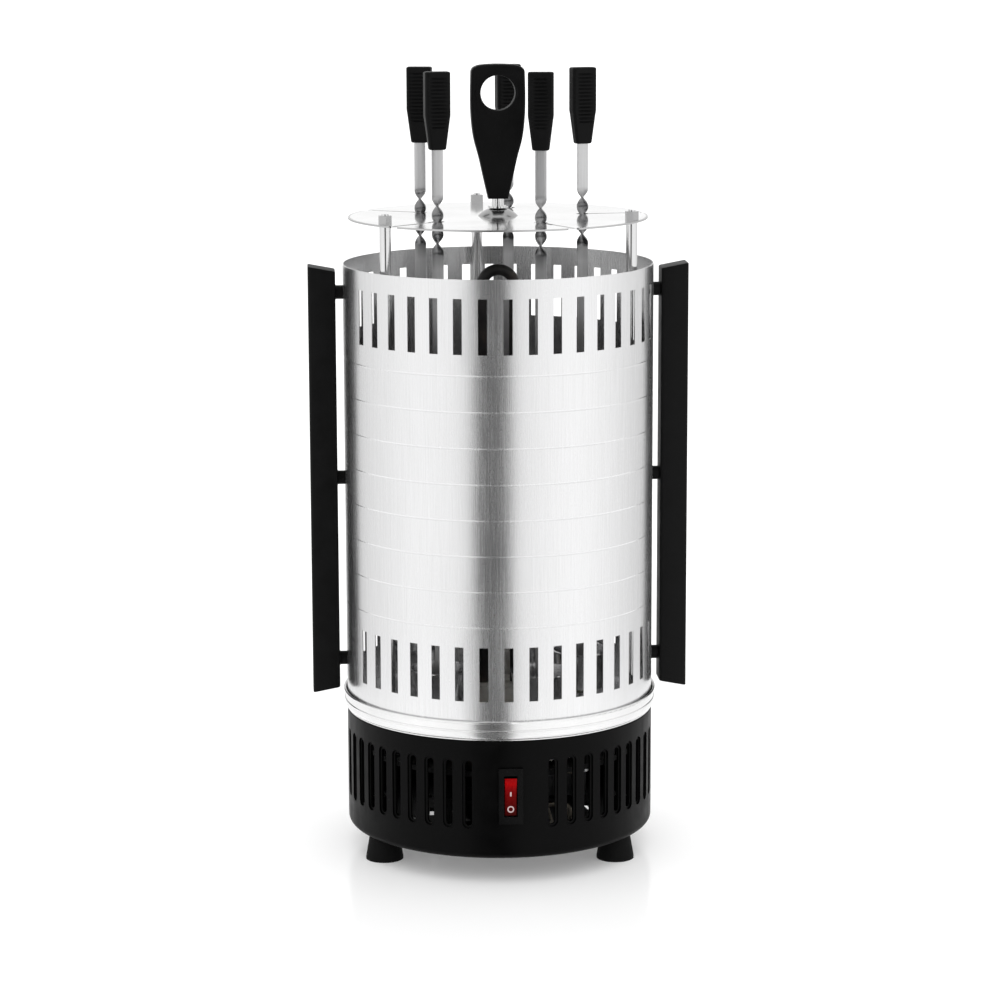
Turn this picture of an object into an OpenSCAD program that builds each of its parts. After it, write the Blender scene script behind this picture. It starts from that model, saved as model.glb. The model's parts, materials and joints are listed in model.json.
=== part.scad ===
// Upright electric skewer grill: five skewers turn around a central heating element, inside
// a slotted steel drum that lifts off a motor base.
// The origin is on the floor at the centre of the base, +Z is up and the switch faces -Y.
// Angles around the grill are measured from -Y towards +X.

/* [Drum] */
// Outside diameter of the drum
drum_d = 180; // [178:1:190]
// Sheet thickness of the drum
drum_wall = 0.6; // [0.5:0.1:0.9]
// Height of the drum's rim above the floor
rim_z = 346; // [330:1:360]
// Width of one slot in the drum
slot_w = 5.1; // [3:0.1:6]
// Height of one slot in the drum
slot_h = 31.2; // [20:0.1:34]
// Number of slots in each row on each half of the drum
slots_per_half = 16; // [8:1:16]
// Angle between neighbouring slots
slot_pitch = 9.03; // [8:0.01:9.1]
// Number of rolled grooves around the drum
groove_count = 8; // [2:1:9]

/* [Drum handles] */
// Distance from the axis to the outer face of a drum handle
handle_reach = 110.2; // [108:0.1:120]
// Thickness of the handle bar, measured away from the drum
handle_t = 15.8; // [10:0.1:17]
// Width of the handle bar along the drum
handle_w = 18; // [12:1:24]

/* [Base] */
// Height of the base housing
base_h = 70; // [68:1:80]
// Wall thickness of the base housing
base_wall = 2.4; // [2:0.1:3]
// Height of the feet
foot_h = 14; // [10:1:20]
// Width of a vent slot at its narrowest
vent_w = 4; // [2:0.1:4.4]
// Height of a vent slot
vent_h = 38; // [20:1:40]
// Angle between neighbouring vent slots
vent_pitch = 7.4; // [7:0.1:8]
// Number of vent slots on each side of the switch
vents_per_side = 20; // [4:1:20]

/* [Skewers] */
// Number of skewers
skewer_count = 5; // [5]
// Angle of the first skewer, from the switch towards +X
skewer_start = 25; // [20:1:30]
// Width of a skewer blade
blade_w = 6.6; // [5:0.1:7]
// Thickness of a skewer blade
blade_t = 1.2; // [1:0.1:1.5]
// Height of the tip of a skewer above the floor
tip_z = 98.4; // [98:0.1:102]
// Height of the top of a skewer's grip above the floor
grip_top_z = 457.4; // [440:0.1:470]

/* [Gears] */
// Gear module
gear_module = 1; // [1]
// Teeth of the central drive gear
drive_teeth = 60; // [60]
// Teeth of the gear under each cup
cup_teeth = 40; // [40]
// Teeth of the motor pinion
pinion_teeth = 14; // [14]
// Width of the gears
gear_w = 7; // [5:1:8]

/* [Hidden] */
$fn = 96;
copies = [1:skewer_count];

// Fits
running_gap = 0.05;    // radial clearance of a turning shaft
clear_gap = 0.3;       // radial clearance of a screw in a plain hole

// Heights, from the floor up
base_z0 = foot_h;
base_z1 = base_z0 + base_h;
cover_t = 2.5;
deck_z = base_z1 - 24;         // underside of the gear deck
deck_t = 3;
gear_z = deck_z + deck_t + 2;
tray_t = 0.8;
shelf_z = base_z1 + 2.6;       // ledge inside the tray that the drum stands on
drum_z0 = shelf_z + 0.2;
disc_z = rim_z + 26;           // underside of the top disc
disc_t = 1;
disc_top = disc_z + disc_t;
cup_z = base_z1 + 6;

// Radii, from the axis outwards
drum_r = drum_d / 2;
base_r = drum_r;
base_in_r = base_r - base_wall;
disc_r = drum_r - 3.5;
post_pitch_r = drum_r - 8.5;
post_r = 3.25;
skewer_r = (drive_teeth + cup_teeth) * gear_module / 2;
pinion_r = (drive_teeth + pinion_teeth) * gear_module / 2;
skewer_step = 360 / skewer_count;
post_start = 65;
threes = [0:2];                // the feet, deck bosses and posts come in threes
third = 120;

// Base
bottom_round_r = 4;
cover_r = base_r - 5.8;
foot_start = 56;
foot_pitch_r = 78;
foot_top_r = 8.7;
foot_bottom_r = 10.9;
foot_rim_h = 1.5;
foot_recess_r = 4;
foot_recess_h = 6;
foot_rib_l = 10.5;
foot_rib_t = 2;
foot_rib_drop = 4;             // the rib starts this far above the cover
boss_r = 4.5;
foot_boss_h = 22;
floor_lip = 3.2;               // how far the housing reaches in under the cover's edge
floor_lip_h = 5.5;
top_edge = 0.6;                // chamfer around the top of the housing
screw_r = 1.5;
screw_head_r = 3;
screw_head_h = 1.8;
key_r = 1.1;
top_ring_in_r = 70;
top_ring_t = 2.5;
stud_hole_h = 40;
cover_slot = [4, 16];
cover_rings = [26, 40, 54];
deck_boss_start = 35;
deck_boss_pitch_r = 76.5;
deck_boss_r = 4;
vent_start = 15.5;
vent_mid_z = base_z0 + 38.5;
vent_bevel = 1.45;
vent_bevel_depth = 1;
cut = 1;                       // how far a cutting shape runs past the face it cuts

// Drive
deck_r = 80.5;
hub_r = 15.5;
hub_in_r = 13.6;
pressure_angle = 20;
addendum = 0.8 * gear_module;
dedendum = 1.0 * gear_module;
tooth_gap = 0.06;              // material left off each flank, as backlash
flank_steps = 5;
shaft_r = 3;
bush_r = 5;
bush_flange_r = 6.5;
bush_flange_t = 1.8;
bush_z0 = deck_z - 3;
motor_angle = skewer_start + 2.5 * skewer_step;
motor_r = 24;
motor_h = 20;
motor_ear_t = 1.2;
motor_ear_reach = 30;
motor_ear_turn = 40;
motor_ear_r = 4.5;
motor_bore_h = 12;
motor_shaft_r = 2.5;
pinion_hole_gap = 1.5;
retainer_w = 3;
retainer_t = 1.5;
retainer_gap = 0.3;
gear_web = 3;                  // thickness left under the drive gear's recess
gear_rim = 4;
hub_flange = 4;
end_gap = 0.2;                 // axial clearance under a gear

// Switch
bezel_w = 14;
bezel_h = 32.6;
bezel_front = base_r + 1.4;    // distance of its face from the axis
bezel_t = 1.8;
switch_z = base_z0 + 37.6;
switch_body_w = 12.4;
switch_body_h = 28.6;
switch_depth = 23;
switch_fit = 0.1;              // gap around the switch in its cut-out
switch_cavity = 17;
rocker_w = 7;
rocker_half_h = 11.7;
rocker_gap = 0.3;
rocker_pivot = bezel_front - 5;
rocker_lean = 6;               // half of the rocker's full turn
pivot_r = 1.25;
pivot_l = 1.4;                 // length of each pin beside the rocker
rocker_face = 3.7;             // from the pivot to the middle of the face
rocker_sweep_r = 12.3;
terminal_step = 7;
terminal_l = 7;
terminal_w = 4.8;
terminal_t = 0.8;

// Cord gland and terminal block
gland_z = base_z0 + 36;
gland_bore_r = 3.6;
gland_r = 6;
gland_flange_r = 9;
gland_seat = 0.9;              // how deep the gland's flange sits in the wall
gland_flange_t = 2.1;          // how far it stands proud
gland_nut_af = 15;
gland_nut_h = 3;
gland_inside = 8;              // how far the gland reaches in from the wall
block_at = [38, 40];
block_size = [34, 16, 14];
lead_r = 1.1;
lead_bend_r = 4;
block_hole_z = base_z0 + 9.5;
block_step = 11;
block_bore_r = 2;
block_well_r = 2.2;
lead_out = 8.4;                // how far a lead runs straight back from the switch
lead_row = 8;                  // distance between the two switch leads
lead_rise = 9.5;               // the upper lead crosses this far above the block's holes
lead_under = 8.6;              // a heater lead passes this far under its terminal

// Heating element
heater_tube_r = 3.25;
heater_loop_r = 9.45;
heater_top_z = rim_z - 1;
heater_leg_z = deck_z + 2;     // lower end of the element's legs
heater_pin_r = 1.2;
heater_pin_h = 10;
socket_r = 17;
socket_h = 12;
spigot_z0 = deck_z + 4;        // lower end of the part of it inside the hub

// Cups
cup_bottom_r = 14.5;
cup_top_r = 17.5;
cup_h = 22;
cup_wall = 0.8;
cup_floor_z = cup_z + 2;
cup_boss_r = 5;
cup_boss_h = 17;
cup_lip = 0.8;
cup_bore_h = 5;                // depth of the shaft's hole under the cup
gear_hub_r = 6;
gear_hub_h = 4;
socket_gap = 0.3;

// Skewers
grip_h = 43.8;
grip_z0 = grip_top_z - grip_h;
grip_w = 14.6;
grip_bottom_w = 9.6;
grip_t = 8.4;
grip_bottom_t = 6.4;
grip_taper_h = 20;
rib_count = 14;
rib_z0 = 12;
rib_pitch = 2.1;
rib_w = 0.9;
rib_depth = 0.5;
blade_in_grip = 30;
twist_half = 11.3;             // length of blade that turns through 180 degrees
twist_halves = 3;
twist_top_z = grip_z0 - 26;
twist_z0 = twist_top_z - twist_half * twist_halves;
twist_slices = 36;
tip_h = 5;
skewer_turns = [-6, 16, 12, -10, 8];

// Tray
tray_wall_r = drum_r + 1.4;
tray_wall_h = 10.6;
tray_round_r = 3;
tray_round_a = 58;             // part of a quarter turn at the foot of the wall
tray_bead_z = base_z1 + 5.6;
tray_bead_r = 0.7;
tray_hem_r = 0.75;
tray_collar_w = 2.3;
tray_hole_gap = 1.5;
tray_nut_h = 3.2;

// Top
notch_r = 3.9;
notch_slot_w = 3;
mouth_r = 4;
nut_af = 7;
nut_h = 5;
stud_r = 2;
dome_r = 11.5;
dome_h = 5;
stem_r = 3.5;
stem_stud_r = 2.5;
stem_washer_r = 5.75;
stem_washer_t = 1;
stem_nut_af = 8;
stem_nut_h = 4;
dome_cut = 0.3;                // flat on top of the dome, under the washer
neck_h = 4;
plate_z0 = disc_top + dome_h + stem_washer_t + neck_h;
plate_t = 11;
plate_corner_r = 4;
plate_hole_r = 10;
plate_hole_z = plate_z0 + 60.6;
stem_in_handle = 18;

// Drum details
slot_mid = 4;                  // the slot rows sit a little round from the handles
upper_slot_z = rim_z - 42;
lower_slot_z = drum_z0 + 19.7;
groove_z0 = drum_z0 + 62.2;
groove_step = 20.44;
groove_w = 1.2;
groove_depth = 0.25;
peg_r = 4;
peg_up = [112.9, 221, 329.7];
peg_screw_l = 15;
handle_edge = 0.8;
handle_z0 = 94;
handle_z1 = rim_z - 0.5;
handle_slant = 3;

// A point at an angle from the switch, at a radius from the axis
function around(r, a) = [r * sin(a), -r * cos(a)];
// Length of the diagonal of a hexagon's corner from its centre
function hex_r(af) = af / 2 / cos(30);
// Angle of a skewer, counted from 1
function skewer_angle(i) = skewer_start + (i - 1) * skewer_step;
// The involute function, in degrees
function involute(a) = tan(a) * 180 / PI - a;
// Half of the angle that a tooth takes up at radius r
function half_tooth(teeth, r) =
    let (pitch_r = teeth * gear_module / 2,
         base = pitch_r * cos(pressure_angle),
         a = r > base ? acos(base / r) : 0)
    90 / teeth - tooth_gap / pitch_r * 180 / PI + involute(pressure_angle) - involute(a);
function polar(r, a) = [r * cos(a), r * sin(a)];
// Radii of the points along one flank, from root to tip
function flank(teeth) =
    let (root = teeth * gear_module / 2 - dedendum, tip = teeth * gear_module / 2 + addendum)
    [for (k = [0:flank_steps - 1]) root + (tip - root) * k / (flank_steps - 1)];
// The outline of a gear, with one tooth centred on +X
function gear_outline(teeth) = [
    for (i = [0:teeth - 1])
        let (c = 360 * i / teeth, f = flank(teeth), n = flank_steps)
            for (k = [0:2 * n - 1])
                k < n ? polar(f[k], c - half_tooth(teeth, f[k]))
                      : polar(f[2 * n - 1 - k], c + half_tooth(teeth, f[2 * n - 1 - k]))
];
// Points of an arc, from angle a0 to angle a1
function arc(c, r, a0, a1, n = 8) = [for (k = [0:n]) c + polar(r, a0 + (a1 - a0) * k / n)];

// Moves its children out to a radius and turns their +X axis outwards
module out_at(a, r = 0) {
    rotate([0, 0, a - 90]) translate([r, 0, 0]) children();
}

module tube(r, in_r, h) {
    difference() {
        cylinder(r = r, h = h);
        translate([0, 0, -1]) cylinder(r = in_r, h = h + 2);
    }
}

module gear_blank(teeth, bore_r, h = gear_w) {
    difference() {
        linear_extrude(height = h) polygon(gear_outline(teeth));
        translate([0, 0, -1]) cylinder(r = bore_r, h = h + 2);
    }
}

module hex_nut(af, h, bore_r) {
    difference() {
        cylinder(r = hex_r(af), h = h, $fn = 6);
        translate([0, 0, -1]) cylinder(r = bore_r, h = h + 2);
    }
}

// A pan-head screw that stands on its head, its shank pointing up
module screw(shank_h) {
    cylinder(r = screw_head_r, h = screw_head_h);
    cylinder(r = screw_r, h = screw_head_h + shank_h);
}

// A lead along points; each run is parallel to an axis, and each corner is a quarter turn
module lead(points) {
    last = len(points) - 1;
    for (k = [0:last - 1]) {
        v = points[k + 1] - points[k];
        length = norm(v);
        trim0 = k == 0 ? 0 : lead_bend_r;
        trim1 = k == last - 1 ? 0 : lead_bend_r;
        translate(points[k] + v / length * trim0)
            rotate([0, acos(v[2] / length), atan2(v[1], v[0])])
                cylinder(r = lead_r, h = length - trim0 - trim1);
    }
    for (k = [1:last - 1]) {
        u = (points[k - 1] - points[k]) / norm(points[k - 1] - points[k]);
        v = (points[k + 1] - points[k]) / norm(points[k + 1] - points[k]);
        w = cross(v, u);
        c = points[k] + lead_bend_r * (u + v);
        multmatrix([[-v[0], -u[0], w[0], c[0]],
                    [-v[1], -u[1], w[1], c[1]],
                    [-v[2], -u[2], w[2], c[2]]])
            rotate_extrude(angle = 90) translate([lead_bend_r, 0]) circle(r = lead_r);
    }
}

// ---------------------------------------------------------------- base

// A vent: an upright slot with round ends, bevelled on the outside
module vent_cut(w, h, x0, x1) {
    for (s = [-1, 1]) translate([x0, 0, vent_mid_z + s * (h - w) / 2])
        rotate([0, 90, 0]) cylinder(r = w / 2, h = x1 - x0, $fn = 24);
    translate([x0, -w / 2, vent_mid_z - (h - w) / 2]) cube([x1 - x0, w, h - w]);
}

module base_wall_profile() {
    r = bottom_round_r;
    polygon(concat(
        [[base_in_r - floor_lip, base_z0], [base_r - r, base_z0]],
        arc([base_r - r, base_z0 + r], r, -90, 0),
        [[base_r, base_z1 - 1], [base_r - top_edge, base_z1], [top_ring_in_r, base_z1],
         [top_ring_in_r, base_z1 - top_ring_t], [base_in_r, base_z1 - top_ring_t],
         [base_in_r, base_z0 + floor_lip_h], [base_in_r - floor_lip, base_z0 + cover_t]]));
}

// A recess of width w and height h for the switch, depth measured from outside the wall
module switch_recess(w, h, depth) {
    translate([-w / 2 - switch_fit, -base_r - 2 * cut, switch_z - h / 2 - switch_fit])
        cube([w + 2 * switch_fit, depth, h + 2 * switch_fit]);
}

module base_housing() {
    color([0.07, 0.07, 0.07]) difference() {
        union() {
            rotate_extrude() base_wall_profile();
            for (k = threes) {
                out_at(foot_start + third * k, foot_pitch_r)
                    translate([0, 0, base_z0 + cover_t]) cylinder(r = boss_r, h = foot_boss_h);
                out_at(foot_start + third * k, foot_pitch_r)
                    translate([0, -foot_rib_t / 2, base_z0 + cover_t + foot_rib_drop])
                        cube([foot_rib_l, foot_rib_t, foot_boss_h - foot_rib_drop]);
                out_at(deck_boss_start + third * k, deck_boss_pitch_r)
                    translate([0, 0, deck_z + deck_t])
                        cylinder(r = deck_boss_r, h = base_z1 - 1 - deck_z - deck_t);
            }
        }
        for (s = [-1, 1], k = [0:vents_per_side - 1]) {
            out_at(s * (vent_start + vent_pitch * k))
                vent_cut(vent_w, vent_h, base_in_r - cut, base_r + cut);
            out_at(s * (vent_start + vent_pitch * k))
                vent_cut(vent_w + 2 * vent_bevel, vent_h + 2 * vent_bevel,
                         base_r - vent_bevel_depth, base_r + cut);
        }
        for (k = threes) {
            out_at(foot_start + third * k, foot_pitch_r)
                translate([0, 0, base_z0 - cut]) cylinder(r = screw_r, h = foot_boss_h);
            out_at(deck_boss_start + third * k, deck_boss_pitch_r)
                translate([0, 0, deck_z]) cylinder(r = screw_r, h = base_z1 - 6 - deck_z);
            out_at(post_start + third * k, post_pitch_r)
                translate([0, 0, deck_z])
                    cylinder(r = stud_r + clear_gap, h = stud_hole_h);
        }
        // switch cut-out and the flat pocket behind its bezel
        switch_recess(switch_body_w, switch_body_h, 14);
        switch_recess(bezel_w, bezel_h, base_r + 2 * cut - bezel_front + bezel_t);
        // hole for the cord gland
        translate([0, base_in_r - 4 * cut, gland_z]) rotate([-90, 0, 0])
            cylinder(r = gland_r, h = 12);
        translate([0, base_r - gland_seat, gland_z]) rotate([-90, 0, 0])
            cylinder(r = gland_flange_r + switch_fit, h = 5);
    }
}

module base_cover() {
    color([0.1, 0.1, 0.1]) difference() {
        translate([0, 0, base_z0]) cylinder(r = cover_r, h = cover_t);
        for (k = threes) out_at(foot_start + third * k, foot_pitch_r)
            translate([0, 0, base_z0 - 1]) cylinder(r = screw_r + clear_gap, h = cover_t + 2);
        for (ring = cover_rings, k = [0:7]) out_at(45 * k + ring, ring)
            translate([-cover_slot[0] / 2, -cover_slot[1] / 2, base_z0 - cut])
                cube([cover_slot[0], cover_slot[1], cover_t + 2 * cut]);
    }
}

module foot(k) {
    color([0.06, 0.06, 0.06]) out_at(foot_start + third * (k - 1), foot_pitch_r) difference() {
        union() {
            cylinder(r = foot_bottom_r, h = foot_rim_h);
            translate([0, 0, foot_rim_h])
                cylinder(r1 = foot_bottom_r, r2 = foot_top_r, h = foot_h - foot_rim_h);
        }
        translate([0, 0, -cut]) cylinder(r = foot_recess_r, h = foot_recess_h + cut);
        cylinder(r = screw_r + clear_gap, h = foot_h + 1);
    }
}

module foot_screws() {
    color("silver") for (k = threes) out_at(foot_start + third * k, foot_pitch_r)
        translate([0, 0, foot_recess_h - screw_head_h])
            screw(base_z0 - foot_recess_h + foot_boss_h - 3);
}

// ---------------------------------------------------------------- switch

module switch_body() {
    color([0.05, 0.05, 0.05]) difference() {
        union() {
            translate([-bezel_w / 2, -bezel_front, switch_z - bezel_h / 2])
                cube([bezel_w, bezel_t, bezel_h]);
            translate([-switch_body_w / 2, -bezel_front, switch_z - switch_body_h / 2])
                cube([switch_body_w, switch_depth, switch_body_h]);
        }
        translate([-rocker_w / 2 - rocker_gap, -bezel_front - 1,
                   switch_z - rocker_half_h - rocker_gap])
            cube([rocker_w + 2 * rocker_gap, switch_cavity, 2 * (rocker_half_h + rocker_gap)]);
        translate([-rocker_w / 2 - pivot_l - 0.2, -rocker_pivot, switch_z]) rotate([0, 90, 0])
            cylinder(r = pivot_r + running_gap, h = rocker_w + 2 * (pivot_l + 0.2), $fn = 32);
    }
}

// The rocker leans towards its off side at rest; both halves of its face are flat
module rocker_profile() {
    h = rocker_half_h - 0.4;
    end_x = -rocker_face - h * tan(rocker_lean);
    intersection() {
        circle(r = rocker_sweep_r);
        rotate(rocker_lean) polygon([
            [end_x, h], [-rocker_face, 0], [end_x, -h],
            [1.5, -h + 2.2], [5, -3], [5, 3], [1.5, h - 2.2]]);
    }
}

module switch_rocker() {
    color([0.75, 0.02, 0.02]) translate([0, -rocker_pivot, switch_z]) {
        translate([-rocker_w / 2, 0, 0]) rotate([90, 0, 90])
            linear_extrude(height = rocker_w) rocker_profile();
        translate([-rocker_w / 2 - pivot_l, 0, 0]) rotate([0, 90, 0])
            cylinder(r = pivot_r, h = rocker_w + 2 * pivot_l, $fn = 32);
    }
}

module switch_terminals() {
    color("gold") for (z = [-terminal_step, 0, terminal_step])
        translate([-terminal_w / 2, -bezel_front + switch_depth, switch_z + z - terminal_t / 2])
            cube([terminal_w, terminal_l, terminal_t]);
}

// ---------------------------------------------------------------- cord gland and wiring

module cord_gland() {
    color([0.08, 0.08, 0.08]) translate([0, 0, gland_z]) rotate([-90, 0, 0])
        difference() {
            union() {
                translate([0, 0, base_in_r - gland_inside]) cylinder(r = gland_r, h = 10);
                translate([0, 0, base_r - gland_seat])
                    cylinder(r1 = gland_flange_r, r2 = gland_flange_r - 1,
                             h = gland_seat + gland_flange_t);
                translate([0, 0, base_in_r - 4.2])
                    cylinder(r = hex_r(gland_nut_af), h = gland_nut_h, $fn = 6);
            }
            translate([0, 0, base_in_r - gland_inside - cut]) cylinder(r = gland_bore_r, h = 20);
        }
}

module terminal_block() {
    color([0.9, 0.88, 0.8]) difference() {
        translate([block_at[0] - block_size[0] / 2, block_at[1] - block_size[1] / 2,
                   base_z0 + cover_t])
            cube(block_size);
        for (k = [-1:1]) translate([block_at[0] + block_step * k, block_at[1], block_hole_z]) {
            rotate([90, 0, 0])
                cylinder(r = block_bore_r, h = block_size[1] + 2 * cut, center = true);
            cylinder(r = block_well_r, h = block_size[2]);
        }
    }
}

// From the terminal block to the switch's lowest and highest terminals
module switch_leads() {
    end_y = -bezel_front + switch_depth + terminal_l;
    x0 = block_at[0] - block_step;
    x1 = block_at[0];
    low_z = switch_z - terminal_step;
    high_z = switch_z + terminal_step;
    crossing_z = block_hole_z + lead_rise;
    near_y = end_y + lead_out;
    far_y = near_y + lead_row;
    color([0.35, 0.2, 0.1]) {
        lead([[x0, block_at[1], block_hole_z], [x0, near_y, block_hole_z],
              [0, near_y, block_hole_z], [0, near_y, low_z], [0, end_y, low_z]]);
        lead([[x1, block_at[1], block_hole_z], [x1, far_y, block_hole_z],
              [x1, far_y, crossing_z], [0, far_y, crossing_z], [0, far_y, high_z],
              [0, end_y, high_z]]);
    }
}

// From the element's pins to the terminal block and to the switch's middle terminal
module heater_leads() {
    pin_z = heater_leg_z - heater_pin_h;
    turn_z = pin_z - 12;
    under_z = switch_z - lead_under;
    x2 = block_at[0] + block_step;
    switch_y = -bezel_front + switch_depth + terminal_l / 2;
    color([0.85, 0.85, 0.8]) {
        lead([[heater_loop_r, 0, pin_z], [heater_loop_r, 0, turn_z], [x2, 0, turn_z],
              [x2, 0, block_hole_z], [x2, block_at[1], block_hole_z]]);
        lead([[-heater_loop_r, 0, pin_z], [-heater_loop_r, 0, under_z],
              [-heater_loop_r, switch_y, under_z], [-heater_loop_r, switch_y, switch_z],
              [-terminal_w / 2, switch_y, switch_z]]);
    }
}

// ---------------------------------------------------------------- motor and gears

module motor_place() {
    out_at(motor_angle, pinion_r) children();
}

module drive_motor() {
    color("lightgray") motor_place() difference() {
        union() {
            translate([0, 0, deck_z - motor_h]) cylinder(r = motor_r, h = motor_h - motor_ear_t);
            translate([0, 0, deck_z - motor_ear_t]) cylinder(r = motor_r, h = motor_ear_t);
            for (s = [-1, 1]) rotate([0, 0, s * motor_ear_turn]) {
                translate([0, -motor_ear_r, deck_z - motor_ear_t])
                    cube([motor_ear_reach, 2 * motor_ear_r, motor_ear_t]);
                translate([motor_ear_reach, 0, deck_z - motor_ear_t])
                    cylinder(r = motor_ear_r, h = motor_ear_t);
            }
        }
        for (s = [-1, 1]) rotate([0, 0, s * motor_ear_turn])
            translate([motor_ear_reach, 0, deck_z - 5])
                cylinder(r = screw_r + clear_gap, h = 6);
        translate([0, 0, deck_z - motor_bore_h])
            cylinder(r = motor_shaft_r + running_gap, h = motor_h);
    }
}

module motor_screws() {
    color("silver") motor_place() for (s = [-1, 1]) rotate([0, 0, s * motor_ear_turn])
        translate([motor_ear_reach, 0, deck_z - motor_ear_t - screw_head_h])
            screw(motor_ear_t + deck_t);
}

module motor_shaft() {
    z0 = deck_z - motor_bore_h + 1;
    color("silver") motor_place() translate([0, 0, z0])
        cylinder(r = motor_shaft_r, h = gear_z + gear_w + 2 - z0);
}

module motor_pinion() {
    color("white") motor_place() translate([0, 0, gear_z])
        rotate([0, 0, 180 + 180 / pinion_teeth]) gear_blank(pinion_teeth, motor_shaft_r);
}

module drive_gear() {
    color("white") out_at(skewer_start) translate([0, 0, gear_z]) difference() {
        gear_blank(drive_teeth, hub_r + running_gap);
        // lightening recess between the hub and the rim
        translate([0, 0, gear_web])
            tube(drive_teeth * gear_module / 2 - gear_rim, hub_r + 3.5, gear_w);
    }
}

module gear_retainer() {
    color("silver") translate([0, 0, gear_z + gear_w + retainer_gap])
        tube(hub_r + retainer_w, hub_r, retainer_t);
}

module gear_deck() {
    color("dimgray") difference() {
        union() {
            translate([0, 0, deck_z]) cylinder(r = deck_r, h = deck_t);
            translate([0, 0, deck_z]) cylinder(r = hub_r + hub_flange, h = gear_z - end_gap - deck_z);
            translate([0, 0, deck_z]) cylinder(r = hub_r, h = base_z1 - 5 - deck_z);
        }
        translate([0, 0, deck_z - 1]) cylinder(r = hub_in_r, h = base_h);
        for (i = copies) out_at(skewer_angle(i), skewer_r)
            translate([0, 0, deck_z - 1]) cylinder(r = bush_r, h = deck_t + 2);
        for (k = threes) out_at(deck_boss_start + third * k, deck_boss_pitch_r)
            translate([0, 0, deck_z - 1]) cylinder(r = screw_r + clear_gap, h = deck_t + 2);
        motor_place() {
            translate([0, 0, deck_z - 1])
                cylinder(r = motor_shaft_r + pinion_hole_gap, h = deck_t + 2);
            for (s = [-1, 1]) rotate([0, 0, s * motor_ear_turn])
                translate([motor_ear_reach, 0, deck_z - 1]) cylinder(r = screw_r, h = deck_t + 2);
        }
        // room for the switch
        translate([-switch_body_w / 2 - 1.5, -deck_r - 1, deck_z - 1])
            cube([switch_body_w + 3, deck_r - bezel_front + switch_depth + 3, deck_t + 2]);
    }
}

module deck_screws() {
    color("silver") for (k = threes) out_at(deck_boss_start + third * k, deck_boss_pitch_r)
        translate([0, 0, deck_z - screw_head_h]) screw(deck_t + 12);
}

module shaft_bushes() {
    color("goldenrod") for (i = copies) out_at(skewer_angle(i), skewer_r) {
        translate([0, 0, bush_z0]) tube(bush_r, shaft_r + running_gap, gear_z - end_gap - bush_z0);
        translate([0, 0, deck_z + deck_t])
            tube(bush_flange_r, shaft_r + running_gap, bush_flange_t);
    }
}

// ---------------------------------------------------------------- cups

// The gear under a cup, with the steel shaft that it turns
module cup_gear(i) {
    color("white") out_at(skewer_angle(i), skewer_r) {
        translate([0, 0, gear_z]) rotate([0, 0, 180 + 180 / cup_teeth])
            gear_blank(cup_teeth, shaft_r - 0.5);
        translate([0, 0, bush_z0 - 2])
            cylinder(r = shaft_r, h = cup_z + cup_bore_h - bush_z0 + 2);
        translate([0, 0, gear_z + gear_w]) cylinder(r = gear_hub_r, h = gear_hub_h);
    }
}

module cup_profile() {
    polygon([[0, cup_z], [cup_boss_r, cup_z], [cup_boss_r, cup_floor_z],
             [cup_bottom_r, cup_floor_z], [cup_top_r, cup_floor_z + cup_h - 1],
             [cup_top_r + cup_lip, cup_floor_z + cup_h - 0.6],
             [cup_top_r + cup_lip, cup_floor_z + cup_h],
             [cup_top_r - cup_wall, cup_floor_z + cup_h],
             [cup_bottom_r - cup_wall, cup_floor_z + cup_wall],
             [cup_boss_r, cup_floor_z + cup_wall], [cup_boss_r, cup_z + cup_boss_h],
             [0, cup_z + cup_boss_h]]);
}

// A drip cup; the socket in its middle takes the tip of the skewer
module drip_cup(i) {
    color([0.75, 0.75, 0.76]) out_at(skewer_angle(i), skewer_r) difference() {
        rotate_extrude() cup_profile();
        translate([0, 0, cup_z - cut]) cylinder(r = shaft_r, h = cup_bore_h + cut);
        rotate([0, 0, 90 - skewer_angle(i) + skewer_turns[i - 1]])
            translate([-blade_w / 2 - socket_gap, -blade_t / 2 - socket_gap, tip_z - 0.4])
                cube([blade_w + 2 * socket_gap, blade_t + 2 * socket_gap, 30]);
    }
}

// ---------------------------------------------------------------- skewers

module skewer_place(i) {
    p = around(skewer_r, skewer_angle(i));
    translate([p[0], p[1], 0]) rotate([0, 0, skewer_turns[i - 1]]) children();
}

module skewer_blade(i) {
    color([0.8, 0.8, 0.81]) skewer_place(i) {
        rotate([90, 0, 0]) linear_extrude(height = blade_t, center = true)
            polygon([[-blade_w / 2, twist_z0], [-blade_w / 2, tip_z + tip_h], [-0.8, tip_z],
                     [0.8, tip_z], [blade_w / 2, tip_z + tip_h], [blade_w / 2, twist_z0]]);
        translate([0, 0, twist_z0])
            linear_extrude(height = twist_top_z - twist_z0, twist = 180 * twist_halves,
                           slices = twist_slices, $fn = 8)
                square([blade_w, blade_t], center = true);
        translate([-blade_w / 2, -blade_t / 2, twist_top_z])
            cube([blade_w, blade_t, grip_z0 + blade_in_grip - twist_top_z]);
    }
}

// Front view of a grip: straight above, tapered below
module grip_outline(top_w, bottom_w) {
    polygon([[-bottom_w / 2, 0], [bottom_w / 2, 0], [top_w / 2, grip_taper_h],
             [top_w / 2, grip_h - 1], [top_w / 2 - 1, grip_h], [1 - top_w / 2, grip_h],
             [-top_w / 2, grip_h - 1], [-top_w / 2, grip_taper_h]]);
}

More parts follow.
